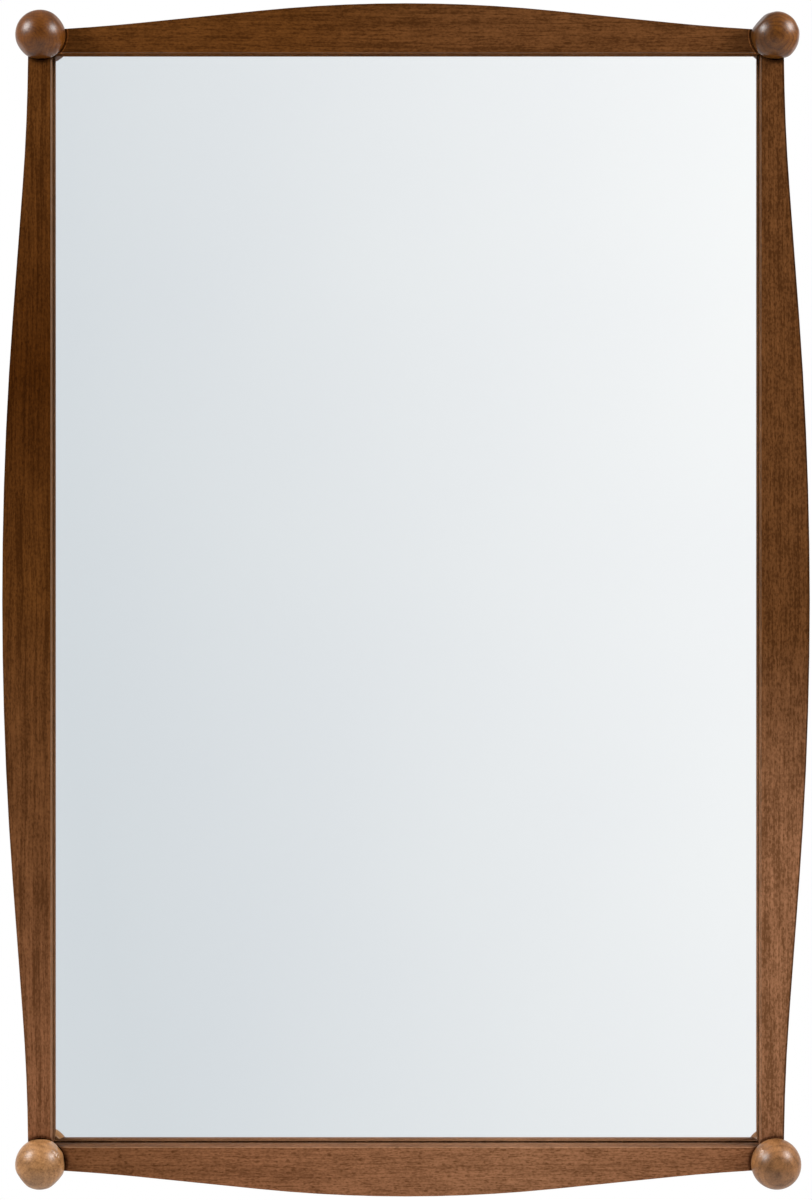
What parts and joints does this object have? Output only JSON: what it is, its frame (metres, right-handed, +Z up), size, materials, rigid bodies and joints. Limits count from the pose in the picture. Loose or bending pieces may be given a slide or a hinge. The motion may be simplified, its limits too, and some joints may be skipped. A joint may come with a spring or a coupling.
{
  "type": "wall mirror",
  "caption": "Portrait wall mirror in a stained solid wood frame with bowed outer edges and a turned ball on each corner, hung by hinged rings behind.",
  "frame": {"origin": "point of the wall plane behind the middle of the glass", "axes": "+Z up, +Y from the mirror into the wall, the mirror faces -Y, +X to the viewer's right"},
  "size_m": [0.6186, 0.0472, 0.914],
  "materials": {
    "stained_wood": "dark walnut stain under satin varnish",
    "ball_wood": "turned wood, thin stain, satin varnish",
    "mirror": "silvered 4 mm float glass",
    "hardboard": "smooth hardboard",
    "zinc_steel": "zinc plated sheet steel",
    "ring_steel": "nickel plated steel wire",
    "screw_steel": "yellow passivated steel",
    "rubber": "black rubber"
  },
  "bodies": {
    "frame": {"left_stile": "stained_wood", "right_stile": "stained_wood", "top_rail": "stained_wood", "bottom_rail": "stained_wood", "top_left_ball": "ball_wood", "top_right_ball": "ball_wood", "bottom_left_ball": "ball_wood", "bottom_right_ball": "ball_wood", "mirror_glass": "mirror", "backing_board": "hardboard", "setting_blocks": "rubber", "wall_bumpers": "rubber", "retaining_tabs": "zinc_steel", "tab_screws": "screw_steel", "ball_screws": "screw_steel", "hanger_screws": "screw_steel", "left_hanger_strap": "zinc_steel", "right_hanger_strap": "zinc_steel"},
    "left_hanger_ring": {"left_hanger_ring": "ring_steel"},
    "right_hanger_ring": {"right_hanger_ring": "ring_steel"}
  },
  "joints": [
    {"name": "left_ring_swing", "type": "hinge", "parent": "frame", "child": "left_hanger_ring", "pos_m": [-0.2907, -0.0025, 0.2], "axis": [1, 0, 0], "range_deg": [0, 180]},
    {"name": "right_ring_swing", "type": "hinge", "parent": "frame", "child": "right_hanger_ring", "pos_m": [0.2907, -0.0025, 0.2], "axis": [1, 0, 0], "range_deg": [0, 180]}
  ]
}
